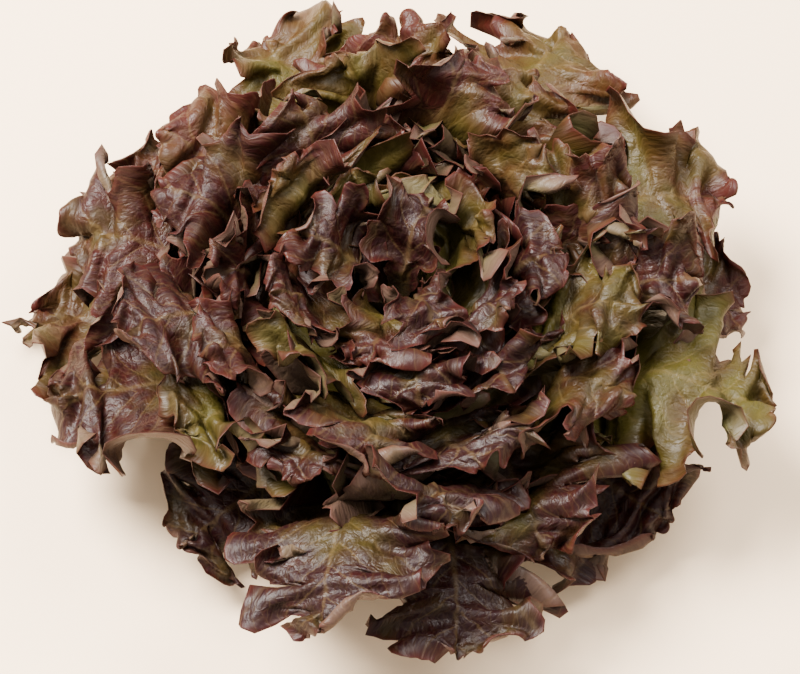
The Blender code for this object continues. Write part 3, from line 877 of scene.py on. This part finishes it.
# Colours are sRGB, and sizes are metres. The net of fine veins is about 1 mm wide on a real leaf and the
# skin's grain finer still. Both are too fine to show here, and are drawn as coarse as they need to be.
# Vein and branch widths are shares of the step to the next one, the net's width is a share of its size,
# and the rib's span is in widths of the rib.
leafLook = {
    "redUpper": "#3a160f",
    # The deep colour is both the dark tone of the random mottle and the colour of the painted shade.
    "deepToneAndShadeUpper": "#1a0607",
    "oliveUpper": "#383210",
    "redUnder": "#45342c",
    "oliveUnder": "#494627",
    "veinColour": "#6f5c3a",
    "rimColour": "#3c1611",
    "patchSize": 0.022,
    "patchSpan": (0.3, 0.7),
    "patchShare": 0.35,
    "rednessSpan": (0.15, 0.95),
    "mottleSize": 0.00512,
    "mottleSpan": (0.3, 0.75),
    "mottleShare": 0.45,
    # How far the painted shade darkens the upper face towards the deep colour.
    "paintedShadeShare": 0.85,
    "netSize": 0.0032,
    "netWidth": 0.16,
    "netStrength": 0.04,
    "veinWidth": 0.055,
    "branchWidth": 0.050,
    "ribSpan": (1.3, 0.3),
    "branchStrength": 0.6,
    "veinStrength": 0.15,
    "rimStrength": 0.65,
    "roughSpan": (0.25, 0.75),
    "roughness": (0.28, 0.60),
    "specular": 0.16,
    "grainSize": 0.00216,
    "netDent": -0.15,
    "bumpStrength": 0.6,
    "bumpDistance": 0.0012,
}


# Moist leaf skin: deep red over olive green in soft patches, darkened by a random mottle and by painted
# shade on the near side and in the heart, faint veins, a rust-red rim and a pale dusty underside. Its
# gloss is soft and broken by a fine grain.
def leafMaterial(name, greener):
    look = leafLook
    material, tree, shader = newMaterial(name)
    place = addNode(tree, "ShaderNodeUVMap", uv_map="leafMap").outputs[0]

    def read(attribute):
        return addNode(tree, "ShaderNodeAttribute", attribute_name=attribute).outputs[2]

    def noise(size, detail=3.0):
        values = {"Vector": place, "Scale": 1.0 / size, "Detail": detail}
        return addNode(tree, "ShaderNodeTexNoise", values).outputs[0]

    def times(first, second):
        return maths(tree, "MULTIPLY", first, second)

    # A line in the middle of each step, which is full within three tenths of its width.
    def veinLine(step, width):
        part = maths(tree, "SUBTRACT", maths(tree, "FRACT", step, 0.0), 0.5)
        return spanned(tree, maths(tree, "ABSOLUTE", part, 0.0), width, 0.3 * width)

    patches, mottle = noise(look["patchSize"]), noise(look["mottleSize"])
    netValues = {"Vector": place, "Scale": 1.0 / look["netSize"]}
    net = addNode(tree, "ShaderNodeTexVoronoi", netValues, feature="DISTANCE_TO_EDGE").outputs[0]
    netLine = spanned(tree, net, 0.0, look["netWidth"], 1.0, 0.0)
    least, most = -look["patchShare"] - greener, look["patchShare"] - greener
    wandering = spanned(tree, patches, *look["patchSpan"], least, most)
    redness = spanned(tree, maths(tree, "ADD", read("redness"), wandering), *look["rednessSpan"])
    # Painted shade: the deep colour is mixed in by a random mottle and by the painted shade field,
    # darkest on the near side of the head and in the heart.
    depth = times(spanned(tree, mottle, *look["mottleSpan"]), look["mottleShare"])
    depth = maths(tree, "ADD", depth, times(read("paintedShadeAndTint"), look["paintedShadeShare"]))
    red = mixColour(tree, depth, linear(look["redUpper"]), linear(look["deepToneAndShadeUpper"]))
    upper = mixColour(tree, redness, linear(look["oliveUpper"]), red)
    under = mixColour(tree, redness, linear(look["oliveUnder"]), linear(look["redUnder"]))
    skin = mixColour(tree, read("upperShare"), under, upper)
    veinColour, rimColour = linear(look["veinColour"]), linear(look["rimColour"])
    skin = mixColour(tree, times(netLine, look["netStrength"]), skin, veinColour)
    laterals = times(veinLine(read("veinStep"), look["veinWidth"]), read("veinShare"))
    branches = times(veinLine(read("branchStep"), look["branchWidth"]), read("branchShare"))
    rib = spanned(tree, read("ribAside"), *look["ribSpan"])
    veins = maths(tree, "MAXIMUM", laterals, rib)
    veins = maths(tree, "MAXIMUM", veins, times(branches, look["branchStrength"]))
    skin = mixColour(tree, times(veins, look["veinStrength"]), skin, veinColour)
    skin = mixColour(tree, times(read("edgeShare"), look["rimStrength"]), skin, rimColour)
    tree.links.new(skin, shader.inputs["Base Color"])
    rough = spanned(tree, mottle, *look["roughSpan"], *look["roughness"])
    tree.links.new(rough, shader.inputs["Roughness"])
    shader.inputs["Specular IOR Level"].default_value = look["specular"]
    height = maths(tree, "ADD", times(netLine, look["netDent"]), noise(look["grainSize"], 4.0))
    bumpValues = {"Strength": look["bumpStrength"], "Distance": look["bumpDistance"], "Height": height}
    bump = addNode(tree, "ShaderNodeBump", bumpValues)
    tree.links.new(bump.outputs[0], shader.inputs["Normal"])
    return material


stemLook = {
    "flesh": "#d9d3b0",
    "skin": "#b4b285",
    "brown": "#8d6d45",
    "grainSize": 0.004,
    "grainStretch": (1.0, 1.0, 0.25),
    "grainSpan": (0.3, 0.7),
    "brownHeight": 0.004,
    "brownSpan": (0.35, 0.65),
    "brownShares": (0.2, 0.9),
    "roughness": 0.45,
    "bumpStrength": 0.5,
    "bumpDistance": 0.0006,
}


# Crisp moist stem: pale flesh, browned where it was cut, with fibres along it. Real fibres are finer
# than 1 mm, and these are drawn coarser, so that they show.
def stemMaterial():
    look = stemLook
    material, tree, shader = newMaterial("moistStem")
    place = addNode(tree, "ShaderNodeTexCoord").outputs["Object"]
    stretch = {"Vector": place, "Scale": look["grainStretch"]}
    stretched = addNode(tree, "ShaderNodeMapping", stretch).outputs[0]
    values = {"Vector": stretched, "Scale": 1.0 / look["grainSize"], "Detail": 5.0}
    grain = addNode(tree, "ShaderNodeTexNoise", values).outputs[0]
    height = addNode(tree, "ShaderNodeSeparateXYZ", {0: place}).outputs[2]
    low = spanned(tree, height, 0.0, look["brownHeight"], 1.0, 0.0)
    mottle = spanned(tree, grain, *look["grainSpan"])
    skin = mixColour(tree, mottle, linear(look["skin"]), linear(look["flesh"]))
    brown = maths(tree, "MULTIPLY", low, spanned(tree, grain, *look["brownSpan"], *look["brownShares"]))
    skin = mixColour(tree, brown, skin, linear(look["brown"]))
    tree.links.new(skin, shader.inputs["Base Color"])
    shader.inputs["Roughness"].default_value = look["roughness"]
    bumpValues = {"Strength": look["bumpStrength"], "Distance": look["bumpDistance"], "Height": grain}
    bump = addNode(tree, "ShaderNodeBump", bumpValues)
    tree.links.new(bump.outputs[0], shader.inputs["Normal"])
    return material


stemDetail = {
    "rows": 90,
    "sides": 120,
    "eased": 5,
    "inset": 0.0002,
    "scarHeight": 0.0006,
    "scarLength": 0.004,
    "scarsRound": 16.0,
    "slimRadius": 0.01,
    "cutDish": 0.0004,
    "cutRings": (0.2, 0.5, 0.8, 0.97),
}


# The stump is its outline turned round the axis, with low scars of lattice noise where leaves were.
# Its cut face is dished by 1 - r^4, so it stands on its rim.
def makeStem(look):
    heights = np.linspace(0.0, headForm["stemHeights"][-1], stemDetail["rows"])
    turns = np.linspace(0.0, 2.0 * math.pi, stemDetail["sides"], endpoint=False)
    radii = np.interp(heights, headForm["stemHeights"], headForm["stemRadii"])
    eased = stemDetail["eased"]
    padded = np.pad(radii, eased // 2, mode="edge")
    radii = np.convolve(padded, np.ones(eased) / eased, "valid") - stemDetail["inset"]
    scarTurns = turns[None, :] / (2.0 * math.pi) * stemDetail["scarsRound"]
    bump = latticeNoise(heights[:, None] / stemDetail["scarLength"], scarTurns, 3)
    scars = stemDetail["scarHeight"] * (bump - 1.0)
    scars = scars * smooth((0.0, stemDetail["scarLength"]), heights)[:, None]
    radius = radii[:, None] + scars * np.clip(radii / stemDetail["slimRadius"], 0.1, 1.0)[:, None]
    x, y = radius * np.cos(turns), radius * np.sin(turns)
    wall = np.stack([x, y, np.repeat(heights[:, None], stemDetail["sides"], 1)], -1)
    rings = []
    for share in stemDetail["cutRings"]:
        ring = wall[0] * [share, share, 1.0]
        ring[:, 2] = stemDetail["cutDish"] * (1.0 - share ** 4)
        rings.append(ring)
    wall = np.concatenate([np.array(rings), wall])
    rowCount, sides = wall.shape[:2]
    corner = np.arange(rowCount * sides).reshape(rowCount, sides)
    after = np.roll(corner, -1, 1)
    quads = np.stack([corner[:-1], after[:-1], after[1:], corner[1:]], -1).reshape(-1, 4)
    mesh = bpy.data.meshes.new("stemStump")
    faces = quads.tolist() + [corner[0, ::-1].tolist(), corner[-1].tolist()]
    mesh.from_pydata(wall.reshape(-1, 3).tolist(), [], faces)
    mesh.shade_smooth()
    piece = addObject("stemStump", mesh, look)
    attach(piece, "root")
    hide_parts("stem")
    return piece


# The studio and the camera. The elevation is the photograph's viewing angle.
studio = {
    "floorColour": "#f7dab6",
    "floorRoughness": 0.7,
    "floorHalf": 4.0,
    "floorDrop": 0.0003,
    "worldColour": "#f4efe8",
    "worldStrength": 1.27,
    "keySpot": (-0.80, 0.45, 1.50),
    "keySize": 1.0,
    "keyPower": 200.0,
    "keyColour": (1.0, 0.96, 0.91),
    "fillSpot": (1.0, 0.6, 1.5),
    "fillSize": 0.9,
    "fillPower": 50.0,
    "fillColour": (1.0, 0.97, 0.94),
    "elevation": math.radians(62.0),
    "distance": 1.7,
    "lens": 177.0,
    "sensorWidth": 36.0,
    "originDrop": 0.0104,
}


# A round soft light that faces the origin.
def addLight(name, spot, size, power, colour):
    data = bpy.data.lights.new(name, "AREA")
    data.shape = "DISK"
    data.size = size
    data.energy = power
    data.color = colour
    lamp = bpy.data.objects.new(name, data)
    bpy.context.scene.collection.objects.link(lamp)
    lamp.location = spot
    lamp.rotation_euler = (-Vector(spot)).to_track_quat("-Z", "Y").to_euler()


# A pale floor and world, a key light from the left and behind, and a weak fill from the right.
def makeStudio():
    half, drop = studio["floorHalf"], -studio["floorDrop"]
    mesh = bpy.data.meshes.new("studioFloor")
    corners = [(-half, -half, drop), (half, -half, drop), (half, half, drop), (-half, half, drop)]
    mesh.from_pydata(corners, [], [(0, 1, 2, 3)])
    material, tree, shader = newMaterial("paleFloor")
    shader.inputs["Base Color"].default_value = linear(studio["floorColour"])
    shader.inputs["Roughness"].default_value = studio["floorRoughness"]
    addObject("studioFloor", mesh, material)
    world = bpy.data.worlds.new("studioWorld")
    world.use_nodes = True
    background = world.node_tree.nodes["Background"]
    background.inputs[0].default_value = linear(studio["worldColour"])
    background.inputs[1].default_value = studio["worldStrength"]
    bpy.context.scene.world = world
    for name in ("key", "fill"):
        values = (studio[name + part] for part in ("Spot", "Size", "Power", "Colour"))
        addLight(name + "Light", *values)


# The camera looks down at the head from the near side.
def makeCamera():
    elevation = studio["elevation"]
    forward = Vector((0.0, math.cos(elevation), -math.sin(elevation)))
    up = Vector((0.0, math.sin(elevation), math.cos(elevation)))
    data = bpy.data.cameras.new("photoCamera")
    data.lens = studio["lens"]
    data.sensor_width = studio["sensorWidth"]
    camera = bpy.data.objects.new("photoCamera", data)
    bpy.context.scene.collection.objects.link(camera)
    right = forward.cross(up)
    turn = Matrix((right, up, -forward)).transposed()
    place = Matrix.Translation(up * studio["originDrop"] - forward * studio["distance"])
    camera.matrix_world = place @ turn.to_4x4()
    bpy.context.scene.camera = camera


makeCamera()
makeStudio()
leaves = [coarseLeaf(number) for number in range(headForm["leafCount"])]
print("sweeps", bendClear(leaves))
print("misplaced leaves", checkPlaces(leaves))
report("leaves bent clear")
leafLooks = {"red": leafMaterial("redLeafSkin", 0.0), "olive": leafMaterial("oliveLeafSkin", 0.45)}
for number, leaf in enumerate(leaves):
    makeLeaf(number, leaf, leafLooks)
report("leaves made")
makeStem(stemMaterial())
report("stem made")
